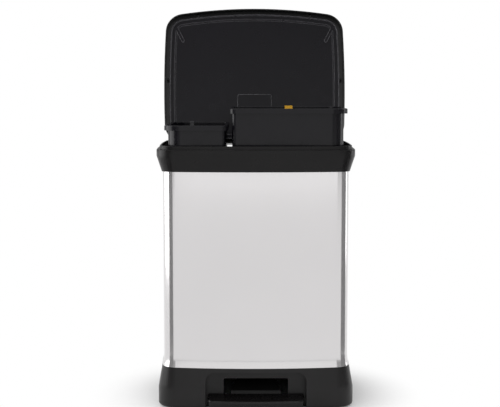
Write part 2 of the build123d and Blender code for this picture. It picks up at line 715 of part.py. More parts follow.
def slot_plate(y_from, y_to, z, hole_d, play, wall, width, frame=Plane.XY):
    """A plate across X with a slot along Y for a pin that moves between two places in it."""
    middle = (y_from + y_to) / 2
    travel = y_to - y_from
    height = hole_d + 2 * play
    with BuildPart() as plate:
        with BuildSketch(side_of(frame)):
            with Locations((middle, z)):
                RectangleRounded(travel + height + 2 * wall, height + 2 * wall, wall)
                SlotCenterToCenter(travel + 2 * play, height, mode=Mode.SUBTRACT)
        extrude(amount=width / 2, both=True)
    return plate.part


# Rod foot: a moulded eye that slides on the lever's pin, with a boss that the rod screws into
eye_top_z = TAIL_PIN_Z + EYE_H / 2
foot_top_z = eye_top_z + BOSS_H
with BuildPart() as rod_foot:
    add(slot_plate(TAIL_END_Y, ROD_Y, TAIL_PIN_Z, LEVER_PIN_D, FOOT_EYE_PLAY, FOOT_EYE_WALL, FOOT_EYE_W))
    with Locations((0, ROD_Y, eye_top_z - FOOT_EYE_WALL / 2)):
        Cylinder(
            BOSS_D / 2,
            BOSS_H + FOOT_EYE_WALL / 2,
            align=(Align.CENTER, Align.CENTER, Align.MIN),
        )
    with Locations((0, ROD_Y, foot_top_z)):
        Cylinder(ROD_D / 2, 2 * ROD_ENGAGE, mode=Mode.SUBTRACT)
rod_foot.part.label = "rod_foot"

# Rod head: a moulded yoke whose slot turns the crank's pin, with a boss below for the rod
head_foot_z = CRANK_OPEN_Z - HEAD_H / 2
boss_foot_z = head_foot_z - BOSS_H
with BuildPart() as rod_head:
    add(slot_plate(CRANK_MID_Y, CRANK_END_Y, CRANK_OPEN_Z, CRANK_PIN_D, HEAD_PLAY, HEAD_WALL, HEAD_W))
    with Locations((0, ROD_Y, boss_foot_z)):
        Cylinder(BOSS_D / 2, BOSS_H + HEAD_WALL, align=(Align.CENTER, Align.CENTER, Align.MIN))
    with Locations((0, ROD_Y, boss_foot_z)):
        Cylinder(ROD_D / 2, 2 * ROD_ENGAGE, mode=Mode.SUBTRACT)
rod_head.part.label = "rod_head"

# Push rod: a straight steel rod from the foot's boss to the head's
with BuildPart() as push_rod:
    with Locations((0, ROD_Y, foot_top_z - ROD_ENGAGE)):
        Cylinder(
            ROD_D / 2,
            boss_foot_z - foot_top_z + 2 * ROD_ENGAGE,
            align=(Align.CENTER, Align.CENTER, Align.MIN),
        )
push_rod.part.label = "push_rod"

# Rod nuts: lock nuts against the foot's boss and the head's boss
with BuildPart() as rod_nuts:
    for nut_z in (foot_top_z, boss_foot_z - NUT_H):
        with BuildSketch(Plane.XY.offset(nut_z)):
            with Locations((0, ROD_Y)):
                RegularPolygon(NUT_FLATS / 2, 6, major_radius=False)
                Circle(ROD_D / 2, mode=Mode.SUBTRACT)
        extrude(amount=NUT_H)
rod_nuts.part.label = "rod_nuts"


def lid_form(inset, foot_z, crown_r):
    """The solid under one of the lid's crowned surfaces: the plan from foot_z up to the crown's sphere."""
    with BuildPart(LID) as form:
        extrude(plan(inset, foot_z, LID), amount=LID_TOP_Z - foot_z)
        with Locations((0, 0, LID_TOP_Z - CROWN_R)):
            Sphere(crown_r, mode=Mode.INTERSECT)
    return form.part


LID_UP = Axis(LID.origin, LID.z_dir)
lid_foot_z = SHOULDER_Z + LID_GAP
post_foot_z = PANEL_Z + PANEL_T
buffer_x = COLLAR_W / 2 - BUFFER_SIDE
buffer_line_y = front_line(buffer_x, BUFFER_INSET)
buffer_side_x = COLLAR_W / 2 - BUFFER_INSET
buffer_side_y = (FRONT_BOW - BACK_BOW) / 2
buffer_spots = (
    (-buffer_x, buffer_line_y),
    (buffer_x, buffer_line_y),
    (-buffer_side_x, buffer_side_y),
    (buffer_side_x, buffer_side_y),
)
buffer_foot_z = LIP_Z + LID_GAP

# Lid cover: a crowned shell with a rounded edge, posts for the inner panel and the hinge's knuckles
with BuildPart() as lid_block:
    add(lid_form(0, lid_foot_z, CROWN_R))
    fillet(lid_block.faces().sort_by(LID_UP)[-1].edges(), LID_EDGE_R)

with BuildPart(LID) as post_bars:
    with Locations((0, 0, post_foot_z)):
        with GridLocations(COLLAR_W - 2 * POST_SIDE, COLLAR_D - 2 * POST_END, 2, 2):
            Cylinder(POST_D / 2, LID_TOP_Z - post_foot_z, align=(Align.CENTER, Align.CENTER, Align.MIN))
        with GridLocations(0, COLLAR_D - 2 * POST_END, 1, 2):
            Cylinder(POST_D / 2, LID_TOP_Z - post_foot_z, align=(Align.CENTER, Align.CENTER, Align.MIN))
    with Locations([(x, y, buffer_foot_z + BUFFER_H) for x, y in buffer_spots]):
        Cylinder(BUFFER_D / 2, LID_TOP_Z - LIP_Z, align=(Align.CENTER, Align.CENTER, Align.MIN))

with BuildPart() as lid_posts:
    add(post_bars.part)
    add(lid_block.part, mode=Mode.INTERSECT)

with BuildPart() as lid_cover:
    add(lid_block.part)
    add(lid_form(LID_WALL, lid_foot_z, CROWN_R - LID_WALL), mode=Mode.SUBTRACT)
    add(lid_posts.part)
    for hinge_x in (-HINGE_X, HINGE_X):
        with BuildSketch(side_of(LID, hinge_x)):
            with Locations((HINGE_Y, HINGE_Z + EAR_R + HINGE_SWEEP)):
                Rectangle(2 * EAR_R + 2 * HINGE_SWEEP, COLLAR_D / 8, align=(Align.CENTER, Align.MAX))
        extrude(amount=EAR_OFFSET + EAR_T / 2 + SIDE_PLAY, both=True, mode=Mode.SUBTRACT)
        with BuildSketch(side_of(LID, hinge_x)):
            with Locations((HINGE_Y, HINGE_Z)):
                Circle(KNUCKLE_R)
            with Locations((HINGE_Y - KNUCKLE_R, PANEL_Z)):
                Rectangle(KNUCKLE_R, LID_TOP_Z - 2 * LID_WALL - PANEL_Z, align=Align.MIN)
            make_hull()
        extrude(amount=KNUCKLE_W / 2, both=True)
        add(pin(HINGE_PIN_D / 2 + PIN_FIT, KNUCKLE_W, LID, HINGE_Y, HINGE_Z, hinge_x), mode=Mode.SUBTRACT)
lid_cover.part.label = "lid_cover"

# Lid inner panel: a moulded tray with a rib round it, a ledge, a groove, corner gussets and a bare pad
ledge_inset = PANEL_INSET + PANEL_RIB_T
groove_inset = ledge_inset + PANEL_LEDGE_W
field_inset = groove_inset + PANEL_GROOVE_W
with BuildPart() as lid_inner_panel:
    extrude(plan(PANEL_INSET, PANEL_Z - PANEL_RIB_H, LID), amount=PANEL_RIB_H + PANEL_T)
    extrude(plan(ledge_inset, PANEL_Z - PANEL_RIB_H, LID), amount=PANEL_RIB_H - PANEL_LEDGE_H, mode=Mode.SUBTRACT)
    extrude(
        plan(groove_inset, PANEL_Z - PANEL_LEDGE_H, LID),
        amount=PANEL_LEDGE_H + PANEL_GROOVE_H,
        mode=Mode.SUBTRACT,
    )
    extrude(plan(field_inset, PANEL_Z, LID), amount=PANEL_GROOVE_H)
    with BuildSketch(LID.offset(PANEL_Z - BARE_PAD_H)):
        with Locations((0, HINGE_Y - BARE_PAD_OUT)):
            RectangleRounded(BARE_PAD_W, BARE_PAD_L, GUSSET_T / 2)
    extrude(amount=BARE_PAD_H)
    with BuildSketch(LID.offset(PANEL_Z - PANEL_LEDGE_H)):
        for gusset_side in (-1, 1):
            with Locations((gusset_side * (COLLAR_W / 2 - GUSSET_SIDE), GUSSET_END - COLLAR_D / 2)):
                SlotOverall(GUSSET_L, GUSSET_T, rotation=-gusset_side * GUSSET_TURN)
    extrude(amount=PANEL_LEDGE_H)
    with BuildSketch(LID.offset(PANEL_Z - CRANK_PAD_H)):
        with Locations((0, CRANK_PAD_Y)):
            Rectangle(CRANK_PLATE_W, CRANK_PLATE_L, align=(Align.CENTER, Align.MIN))
    extrude(amount=CRANK_PAD_H)
    with BuildSketch(LID.offset(PANEL_Z - CRANK_PAD_H)):
        with Locations((-CRANK_SCREW_X, CRANK_SCREW_Y), (CRANK_SCREW_X, CRANK_SCREW_Y)):
            Circle(SCREW_D / 2)
    extrude(amount=SCREW_BITE, mode=Mode.SUBTRACT)
lid_inner_panel.part.label = "lid_inner_panel"

# Lid buffers: rubber stubs under the cover's posts, which meet the collar's lip when the lid is shut
with BuildPart(LID) as lid_buffers:
    with Locations([(x, y, buffer_foot_z) for x, y in buffer_spots]):
        Cylinder(BUFFER_D / 2, BUFFER_H, align=(Align.CENTER, Align.CENTER, Align.MIN))
lid_buffers.part.label = "lid_buffers"

# Lid crank: a pressed bracket under the lid's back edge, with two cheeks that carry the crank's pin
with BuildPart() as lid_crank:
    with BuildSketch(LID.offset(CRANK_PLATE_Z)):
        with Locations((0, CRANK_PAD_Y)):
            Rectangle(CRANK_PLATE_W, CRANK_PLATE_L, align=(Align.CENTER, Align.MIN))
        with Locations((-CRANK_SCREW_X, CRANK_SCREW_Y), (CRANK_SCREW_X, CRANK_SCREW_Y)):
            Circle(SCREW_D / 2 + PIN_FIT, mode=Mode.SUBTRACT)
    extrude(amount=CRANK_PLATE_T)
    for cheek_x in (-CHEEK_X - CHEEK_T / 2, CHEEK_X + CHEEK_T / 2):
        with BuildSketch(side_of(LID, cheek_x)):
            with Locations((CRANK_END_Y, CRANK_SHUT_Z)):
                Circle(CHEEK_R)
            with Locations((CRANK_PAD_Y, CRANK_PLATE_Z)):
                Rectangle(CRANK_PLATE_L, CRANK_PLATE_T, align=Align.MIN)
            make_hull()
        extrude(amount=CHEEK_T / 2, both=True)
    add(pin(CRANK_PIN_D / 2 + PIN_FIT, 4 * CHEEK_X, LID, CRANK_END_Y, CRANK_SHUT_Z), mode=Mode.SUBTRACT)
lid_crank.part.label = "lid_crank"

# Crank pin: a headed pin between the cheeks, which rides in the rod head's slot
crank_w = 2 * (CHEEK_X + CHEEK_T)
with BuildPart() as crank_pin:
    add(pin(CRANK_PIN_D / 2, crank_w, LID, CRANK_END_Y, CRANK_SHUT_Z))
    for head_x in (-crank_w / 2 - PIN_HEAD_T / 2, crank_w / 2 + PIN_HEAD_T / 2):
        add(pin(PIN_HEAD_D / 2, PIN_HEAD_T, LID, CRANK_END_Y, CRANK_SHUT_Z, head_x))
crank_pin.part.label = "crank_pin"

# Crank screws: up through the bracket's plate into the inner panel's pad
with BuildPart() as crank_screws:
    for screw_x in (-CRANK_SCREW_X, CRANK_SCREW_X):
        add(screw(LID.offset(CRANK_PLATE_Z), screw_x, CRANK_SCREW_Y, SCREW_BITE, CRANK_PLATE_T))
crank_screws.part.label = "crank_screws"


def tub_form(tub, top_z, foot_z, foot_r):
    """A bucket's solid form: straight from the top down, then drafted to its rounded foot."""
    guide_z = top_z - BUCKET_GUIDE_H
    with BuildPart() as form:
        extrude(tub_plan(guide_z, *tub), amount=BUCKET_GUIDE_H)
        loft([tub_plan(foot_z, *drafted(tub)).face(), tub_plan(guide_z, *tub).face()], ruled=True)
        fillet(form.faces().sort_by(Axis.Z)[0].edges(), foot_r)
    return form.part


def bucket(left, right, left_out, right_out, left_r, right_r, lift):
    """A lift-out bucket between two rim edges: a tub with its rim turned out and down."""
    top_z = SEATED_TOP + lift
    tub = (left + left_out, right - right_out, BUCKET_D, left_r, right_r)
    rim = (left, right, BUCKET_D + 2 * RIM_OUT, left_r + left_out, right_r + right_out)
    with BuildPart() as body:
        extrude(tub_plan(top_z - RIM_H, *rim), amount=RIM_H)
        fillet(body.faces().sort_by(Axis.Z)[-1].edges(), RIM_EDGE_R)
        extrude(tub_plan(top_z - RIM_H, *grown(rim, -BUCKET_WALL)), amount=RIM_H - BUCKET_WALL, mode=Mode.SUBTRACT)
        add(tub_form(tub, top_z, top_z - BUCKET_H, BUCKET_FOOT_R))
        add(
            tub_form(
                grown(tub, -BUCKET_WALL),
                top_z,
                top_z - BUCKET_H + BUCKET_WALL,
                BUCKET_FOOT_R - BUCKET_WALL,
            ),
            mode=Mode.SUBTRACT,
        )
    return body.part


def rim_clip(x, width, lift):
    """A bent strip clip that hooks over a bucket's back rim at x."""
    top_z = SEATED_TOP + lift
    wall_y = BUCKET_Y + BUCKET_D / 2 - BUCKET_WALL - RIM_CLIP_T / 2
    rim_y = BUCKET_Y + BUCKET_D / 2 + RIM_OUT + RIM_CLIP_T / 2
    with BuildPart() as clip:
        with BuildSketch(side_of(Plane.XY, x)):
            with BuildLine():
                Polyline(
                    (wall_y, top_z - RIM_CLIP_DROP),
                    (wall_y, top_z + RIM_CLIP_T / 2),
                    (rim_y, top_z + RIM_CLIP_T / 2),
                    (rim_y, top_z - RIM_H),
                )
            trace(line_width=RIM_CLIP_T)
        extrude(amount=width / 2, both=True)
    return clip.part


# Buckets: the small one at the left and the large one at the right, each part-lifted out of the collar
with BuildPart() as small_bucket:
    add(bucket(SMALL_LEFT, SMALL_RIGHT, RIM_OUT, RIM_INNER_OUT, OUTER_R, INNER_R, SMALL_LIFT))
small_bucket.part.label = "small_bucket"

with BuildPart() as large_bucket:
    add(bucket(LARGE_LEFT, LARGE_RIGHT, RIM_OUT, RIM_OUT, INNER_R, OUTER_R, LARGE_LIFT))
large_bucket.part.label = "large_bucket"

# Rim clips: colour-coded strips that mark which waste goes where
with BuildPart() as small_bucket_clip:
    add(rim_clip((SMALL_LEFT + SMALL_RIGHT) / 2 + DARK_CLIP_ASIDE, DARK_CLIP_W, SMALL_LIFT))
small_bucket_clip.part.label = "small_bucket_clip"

with BuildPart() as large_bucket_clip:
    add(rim_clip((LARGE_LEFT + LARGE_RIGHT) / 2 + YELLOW_CLIP_ASIDE, YELLOW_CLIP_W, LARGE_LIFT))
large_bucket_clip.part.label = "large_bucket_clip"

os.makedirs("parts", exist_ok=True)
for piece in (
    base_shell,
    base_feet,
    body_sleeve,
    collar,
    hinge_pins,
    rod_guides,
    pedal_axle,
    axle_clips,
    pedal_lever,
    lever_pin,
    pedal_tread,
    tread_screws,
    rod_foot,
    rod_head,
    push_rod,
    rod_nuts,
    lid_cover,
    lid_inner_panel,
    lid_buffers,
    lid_crank,
    crank_pin,
    crank_screws,
    small_bucket,
    large_bucket,
    small_bucket_clip,
    large_bucket_clip,
):
    export_step(piece.part, f"parts/{piece.part.label}.step")
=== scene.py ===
from math import pi, radians

import bmesh
import bpy
import numpy as np
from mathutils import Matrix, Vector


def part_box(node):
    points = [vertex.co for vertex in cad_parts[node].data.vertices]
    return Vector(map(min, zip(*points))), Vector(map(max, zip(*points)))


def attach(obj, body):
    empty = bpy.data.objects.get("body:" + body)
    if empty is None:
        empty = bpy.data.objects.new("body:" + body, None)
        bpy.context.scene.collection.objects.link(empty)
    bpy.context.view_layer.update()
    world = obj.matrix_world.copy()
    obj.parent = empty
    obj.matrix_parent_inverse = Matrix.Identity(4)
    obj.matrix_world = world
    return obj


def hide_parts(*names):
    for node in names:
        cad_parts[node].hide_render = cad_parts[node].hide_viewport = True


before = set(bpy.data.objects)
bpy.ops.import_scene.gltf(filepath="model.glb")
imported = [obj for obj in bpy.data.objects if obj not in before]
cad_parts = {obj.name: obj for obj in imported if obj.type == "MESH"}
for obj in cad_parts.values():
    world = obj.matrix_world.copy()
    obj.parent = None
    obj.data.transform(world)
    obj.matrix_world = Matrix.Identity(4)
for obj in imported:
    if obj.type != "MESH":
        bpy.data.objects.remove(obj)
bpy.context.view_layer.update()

# Camera: a long lens a little above the raised rims, some two and a third metres away.
# It is turned a trace to the right and down towards the pedal.
CAMERA_PLACE = (-0.0249, -2.3793, 0.6200)
CAMERA_LENS_MM = 86.05
CAMERA_SENSOR_MM = 36
CAMERA_DOWN = 5.672
CAMERA_RIGHT = 0.344
CAMERA_SIGHT = 50

camera_data = bpy.data.cameras.new("camera")
camera_data.sensor_width = CAMERA_SENSOR_MM
camera_data.lens = CAMERA_LENS_MM
camera_data.clip_end = CAMERA_SIGHT
camera = bpy.data.objects.new("camera", camera_data)
camera.location = CAMERA_PLACE
camera.rotation_euler = (radians(90 - CAMERA_DOWN), 0, radians(-CAMERA_RIGHT))
bpy.context.collection.objects.link(camera)
bpy.context.scene.camera = camera

# Studio: a pale floor that fades to white away from the bin, and a white sky behind it.
# The sky lights the bin less than it shows to the camera.
FLOOR_HALF = 6
FLOOR_PALE = (0.93, 0.93, 0.93, 1)
FADE_FROM = 0.17
FADE_TO = 0.34
SKY_FILL = 0.40
WHITE = (1, 1, 1, 1)

bpy.context.scene.view_settings.view_transform = "Standard"


def feed(tree, socket, value):
    """Sets a socket to a value, or links another node's socket to it."""
    if isinstance(value, bpy.types.NodeSocket):
        tree.links.new(value, socket)
    else:
        socket.default_value = value


def chain(tree, kind, **inputs):
    """A node of one kind in a tree, with its inputs set to values or linked to other nodes' sockets.

    An input goes by its label, with a low line for each space, or by its place, as in i0.
    """
    node = tree.nodes.new(kind)
    for key, value in inputs.items():
        numbered = key[0] == "i" and key[1:].isdigit()
        feed(tree, node.inputs[int(key[1:]) if numbered else key.replace("_", " ")], value)
    return node


def either(tree, first, second):
    """The larger of two sockets."""
    pick = chain(tree, "ShaderNodeMath", i0=first, i1=second)
    pick.operation = "MAXIMUM"
    return pick.outputs[0]


sky = bpy.data.worlds.new("studio_sky")
bpy.context.scene.world = sky
sky.use_nodes = True
sky.node_tree.nodes.clear()
sky_path = chain(sky.node_tree, "ShaderNodeLightPath")
sky_seen = either(sky.node_tree, sky_path.outputs["Is Camera Ray"], sky_path.outputs["Is Transmission Ray"])
sky_fill = chain(sky.node_tree, "ShaderNodeBackground", Color=WHITE, Strength=SKY_FILL)
sky_white = chain(sky.node_tree, "ShaderNodeBackground", Color=WHITE, Strength=1)
sky_mix = chain(
    sky.node_tree, "ShaderNodeMixShader", i0=sky_seen, i1=sky_fill.outputs[0], i2=sky_white.outputs[0]
)
chain(sky.node_tree, "ShaderNodeOutputWorld", Surface=sky_mix.outputs[0])

floor_paint = bpy.data.materials.new("studio_floor")
floor_paint.use_nodes = True
tree = floor_paint.node_tree
tree.nodes.clear()
floor_spot = chain(tree, "ShaderNodeTexCoord")
floor_reach = chain(tree, "ShaderNodeVectorMath", i0=floor_spot.outputs["Object"])
floor_reach.operation = "LENGTH"
floor_fade = chain(
    tree, "ShaderNodeMapRange", Value=floor_reach.outputs["Value"], From_Min=FADE_FROM, From_Max=FADE_TO
)
floor_fade.interpolation_type = "SMOOTHSTEP"
floor_path = chain(tree, "ShaderNodeLightPath")
floor_rays = either(tree, floor_path.outputs["Is Camera Ray"], floor_path.outputs["Is Glossy Ray"])
floor_seen = chain(tree, "ShaderNodeMath", i0=floor_fade.outputs[0], i1=floor_rays)
floor_seen.operation = "MULTIPLY"
floor_matt = chain(tree, "ShaderNodeBsdfDiffuse", Color=FLOOR_PALE)
floor_white = chain(tree, "ShaderNodeEmission", Color=WHITE, Strength=1)
floor_mix = chain(
    tree, "ShaderNodeMixShader", i0=floor_seen.outputs[0], i1=floor_matt.outputs[0], i2=floor_white.outputs[0]
)
chain(tree, "ShaderNodeOutputMaterial", Surface=floor_mix.outputs[0])

floor_mesh = bpy.data.meshes.new("studio_floor")
floor_corners = FLOOR_HALF * np.array([[-1, -1, 0], [1, -1, 0], [1, 1, 0], [-1, 1, 0]])
floor_mesh.from_pydata(floor_corners.tolist(), [], [(0, 1, 2, 3)])
floor_mesh.materials.append(floor_paint)
floor = bpy.data.objects.new("studio_floor", floor_mesh)
bpy.context.collection.objects.link(floor)


# Soft panels: four rectangular lights in front, at both sides and above, all turned to the bin's middle.
# Each has a place, a width and height, and a radiance.
MIDDLE = (0, 0, 0.35)
SOFT_PANELS = {
    "front_panel": ((0.1, -3.4, 1.35), (3.4, 2.6), 0.64),
    "left_panel": ((-1.4, -0.05, 0.8), (1.5, 1.6), 2.3),
    "right_panel": ((1.6, 0.2, 0.8), (0.9, 1.6), 2.0),
    "top_panel": ((0, 0.2, 2.7), (2.2, 1.8), 1.3),
}


def panel_light(name, place, aim, size, radiance):
    """A soft panel at a place, turned to its aim: its power is the radiance times pi times its area."""
    data = bpy.data.lights.new(name, "AREA")
    data.shape = "RECTANGLE"
    data.size, data.size_y = size
    data.energy = radiance * pi * size[0] * size[1]
    lamp = bpy.data.objects.new(name, data)
    lamp.location = place
    turn = Vector(aim) - Vector(place)
    lamp.rotation_euler = turn.to_track_quat("-Z", "Y").to_euler()
    bpy.context.collection.objects.link(lamp)


for name, (place, size, radiance) in SOFT_PANELS.items():
    panel_light(name, place, MIDDLE, size, radiance)

# Studio cards: two grey upright cards beside the bin, which only mirror-like rays see.
# They put the dark lines into the sleeve's rounded corners. Each spans a range of degrees from the front.
CARD_GREY = (0.30, 0.30, 0.30, 1)
CARD_TALL = 1.8
CARD_REACH = 0.62
CARD_SPANS = {"left": (-66, -43), "right": (58, 92)}

card_paint = bpy.data.materials.new("studio_card")
card_paint.use_nodes = True
card_paint.node_tree.nodes.clear()
card_matt = chain(card_paint.node_tree, "ShaderNodeBsdfDiffuse", Color=CARD_GREY)
chain(card_paint.node_tree, "ShaderNodeOutputMaterial", Surface=card_matt.outputs[0])
for side, span in CARD_SPANS.items():
    edges = CARD_REACH * np.array([[np.sin(radians(turn)), -np.cos(radians(turn))] for turn in span])
    low, high = np.insert(edges, 2, 0, 1), np.insert(edges, 2, CARD_TALL, 1)
    card_mesh = bpy.data.meshes.new(f"studio_card_{side}")
    card_mesh.from_pydata(np.concatenate([low, high[::-1]]).tolist(), [], [(0, 1, 2, 3)])
    card_mesh.materials.append(card_paint)
    card = bpy.data.objects.new(f"studio_card_{side}", card_mesh)
    card.visible_camera = card.visible_diffuse = card.visible_shadow = card.visible_transmission = False
    bpy.context.collection.objects.link(card)


# Metal sleeve: one sheet of silver lacquered steel bent round the body and joined at the back.
# It flares out over its last 24 mm to meet the base's shoulder, and its top is hidden in the collar.
# Its finish is drawn up the sheet: lines a hundred times longer than they are wide.
PLAN_W = 0.384
PLAN_D = 0.296
PLAN_FRONT_BOW = 0.017
PLAN_SIDE_BOW = 0.004
PLAN_BACK_BOW = 0.005
PLAN_CORNER = 0.040
SLEEVE_IN = 0.012
SLEEVE_SHEET = 0.0012
SLEEVE_FOOT = 0.080
SLEEVE_TOP = 0.4875
SLEEVE_CREASE = 50
FLAT_FACES_PULL = 60
STRAIGHT_FROM = 0.16
STRAIGHT_STEPS = 6
FLARE_OUT = 0.0032
FLARE_TALL = 0.024
FLARE_STEPS = 9
NOTCH_HALF = 0.0130
NOTCH_EDGE = 0.0132
NOTCH_FOOT = 0.476
NOTCH_REACH = (0.020, 0.035)
SILVER = (0.68, 0.665, 0.67, 1)
SILVER_DRIFT = (0.97, 1.02)
SILVER_DRIFT_SCALE = 2.5
SILVER_SHEEN = (0.135, 0.155)
SILVER_SHEEN_SCALE = 500
DRAWN_SCALE = 700
DRAWN_STRETCH = (1, 1, 0.01)
DRAWN_DEEP = 0.0000003


def circle_of(chord, bow):
    """The radius of the arc over a chord: half the chord squared plus the bow squared, over two bows."""
    return ((chord / 2) ** 2 + bow**2) / (2 * bow)


def bin_plan(inset, steps=22):
    """The bin's plan as arcs: each point is an arc's centre plus its radius less the inset, along the normal.

    The side arcs bow out, and each corner arc touches its two side arcs from inside.
    """
    half_w = PLAN_W / 2 - PLAN_SIDE_BOW
    front = PLAN_FRONT_BOW - PLAN_D / 2
    back = PLAN_D / 2 - PLAN_BACK_BOW
    middle = (front + back) / 2
    front_r = circle_of(2 * half_w, PLAN_FRONT_BOW)
    back_r = circle_of(2 * half_w, PLAN_BACK_BOW)
    side_r = circle_of(back - front, PLAN_SIDE_BOW)
    sides = [
        (np.array([half_w + PLAN_SIDE_BOW - side_r, middle]), side_r),
        (np.array([0, PLAN_D / 2 - back_r]), back_r),
        (np.array([side_r - half_w - PLAN_SIDE_BOW, middle]), side_r),
        (np.array([0, front_r - PLAN_D / 2]), front_r),
    ]
    arcs = []
    for quarter in range(4):
        first, first_r = sides[quarter]
        second, second_r = sides[(quarter + 1) % 4]
        apart = second - first
        gap = np.hypot(*apart)
        along = ((first_r - PLAN_CORNER) ** 2 - (second_r - PLAN_CORNER) ** 2 + gap**2) / (2 * gap)
        across = np.sqrt((first_r - PLAN_CORNER) ** 2 - along**2)
        square = np.array([-apart[1], apart[0]]) / gap
        corner = first + along * apart / gap + across * square
        arcs.append((first, first_r, corner))
    points = []
    for quarter in range(4):
        centre, radius, corner = arcs[quarter]
        before = arcs[quarter - 1][2]
        start = np.arctan2(*(before - centre)[::-1])
        stop = np.arctan2(*(corner - centre)[::-1])
        after = sides[(quarter + 1) % 4][0]
        turn = np.arctan2(*(corner - after)[::-1])
        side = start + (stop - start + 2 * pi) % (2 * pi) * np.linspace(0, 1, steps, endpoint=False)
        bend = stop + (turn - stop + 2 * pi) % (2 * pi) * np.linspace(0, 1, steps, endpoint=False)
        for angles, arc_centre, reach in ((side, centre, radius), (bend, corner, PLAN_CORNER)):
            points.append(arc_centre + (reach - inset) * np.stack([np.cos(angles), np.sin(angles)], 1))
    return np.concatenate(points)


def at_height(outline, z):
    """An outline of plan points lifted to a height."""
    return np.column_stack([outline, np.full(len(outline), z)])


def ring_mesh(name, rings, loop=False):
    """A closed skin over a stack of rings with equal counts: quads join ring to ring.

    Where the stack loops, the last ring joins the first. Where it doesn't, both ends close in a fan of
    triangles.
    """
    points = np.array(rings, float)
    count, around = points.shape[:2]
    spans = count if loop else count - 1
    row = (np.arange(spans) * around)[:, None]
    next_row = ((np.arange(spans) + 1) % count * around)[:, None]
    here = np.arange(around)[None, :]
    beside = (here + 1) % around
    quads = np.stack([row + here, row + beside, next_row + beside, next_row + here], -1).reshape(-1, 4)
    verts = points.reshape(-1, 3)
    faces = quads.tolist()
    if not loop:
        ends = np.stack([points[0].mean(0), points[-1].mean(0)])
        low, high = len(verts), len(verts) + 1
        verts = np.concatenate([verts, ends])
        last = (count - 1) * around
        edge = np.arange(around)
        after = (edge + 1) % around
        faces += np.stack([after, edge, np.full(around, low)], 1).tolist()
        faces += np.stack([last + edge, last + after, np.full(around, high)], 1).tolist()
    mesh = bpy.data.meshes.new(name)
    mesh.from_pydata(verts.tolist(), [], faces)
    shape = bmesh.new()
    shape.from_mesh(mesh)
    bmesh.ops.recalc_face_normals(shape, faces=shape.faces)
    shape.to_mesh(mesh)
    shape.free()
    return mesh


def finished(name, mesh, material, body, slot, *nodes, sharp=32):
    """The piece of a mesh with its material: smooth over gentle turns, crisp at sharp ones, on its body.

    A mesh that comes with its crisp edges marked keeps them.
    """
    mesh.materials.clear()
    mesh.materials.append(material)
    mesh.polygons.foreach_set("use_smooth", np.ones(len(mesh.polygons), bool))
    if "sharp_edge" not in mesh.attributes:
        mesh.set_sharp_from_angle(angle=radians(sharp))
    piece = bpy.data.objects.new(name, mesh)
    bpy.context.collection.objects.link(piece)
    weigh = piece.modifiers.new("even_shading", "WEIGHTED_NORMAL")
    weigh.keep_sharp = True
    weigh.weight = FLAT_FACES_PULL
    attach(piece, body)
    if nodes:
        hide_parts(*nodes)
    return piece


def blank(name, **settings):
    """A material with one principled shader, its fixed settings put on the shader's own sockets."""
    material = bpy.data.materials.new(name)
    material.use_nodes = True
    shader = material.node_tree.nodes["Principled BSDF"]
    for key, value in settings.items():
        shader.inputs[key.replace("_", " ")].default_value = value
    return material, material.node_tree, shader


def speckle(tree, scale, low, high, detail=3, stretch=(1, 1, 1)):
    """A number that wanders between low and high over the piece, in noise of a scale per metre.

    The middle two fifths of the noise spread over the whole range.
    """
    place = chain(tree, "ShaderNodeTexCoord")
    fit = chain(tree, "ShaderNodeMapping", Vector=place.outputs["Object"], Scale=stretch)
    noise = chain(tree, "ShaderNodeTexNoise", Vector=fit.outputs[0], Scale=scale, Detail=detail)
    spread = chain(
        tree, "ShaderNodeMapRange", Value=noise.outputs[0], From_Min=0.3, From_Max=0.7, To_Min=low, To_Max=high
    )
    return spread.outputs[0]


def tinted(tree, factor, low, high):
    """A colour between two by a factor, where each is a colour or another node's socket."""
    mix = tree.nodes.new("ShaderNodeMix")
    mix.data_type = "RGBA"
    for place, value in (("Factor", factor), (6, low), (7, high)):
        feed(tree, mix.inputs[place], value)
    return mix.outputs[2]


def shade(colour, by):
    """A colour made lighter or darker by a factor."""
    return (colour[0] * by, colour[1] * by, colour[2] * by, 1)


def relief(tree, shader, height, depth, edge=0.0005):
    """A height as a fine relief on the shader's normal, a depth in metres, over edges softened by a radius."""
    soft = chain(tree, "ShaderNodeBevel", Radius=edge)
    bump = chain(tree, "ShaderNodeBump", Height=height, Distance=depth, Normal=soft.outputs[0])
    tree.links.new(bump.outputs[0], shader.inputs["Normal"])


silver_lacquer, tree, shader = blank("silver_lacquer", Metallic=0.9, Coat_Weight=0.3, Coat_Roughness=0.03)
silver_low, silver_high = (shade(SILVER, by) for by in SILVER_DRIFT)
silver_tone = tinted(tree, speckle(tree, SILVER_DRIFT_SCALE, 0, 1), silver_low, silver_high)
tree.links.new(silver_tone, shader.inputs["Base Color"])
silver_sheen = speckle(tree, SILVER_SHEEN_SCALE, *SILVER_SHEEN, stretch=DRAWN_STRETCH)
tree.links.new(silver_sheen, shader.inputs["Roughness"])
relief(tree, shader, speckle(tree, DRAWN_SCALE, 0, 1, stretch=DRAWN_STRETCH), DRAWN_DEEP)


def sleeve_inset(z):
    """How far inside the plan the sleeve's face lies at a height: it swells as the square of the way down."""
    share = np.clip((SLEEVE_FOOT + FLARE_TALL - z) / FLARE_TALL, 0, 1)
    return SLEEVE_IN - FLARE_OUT * share**2


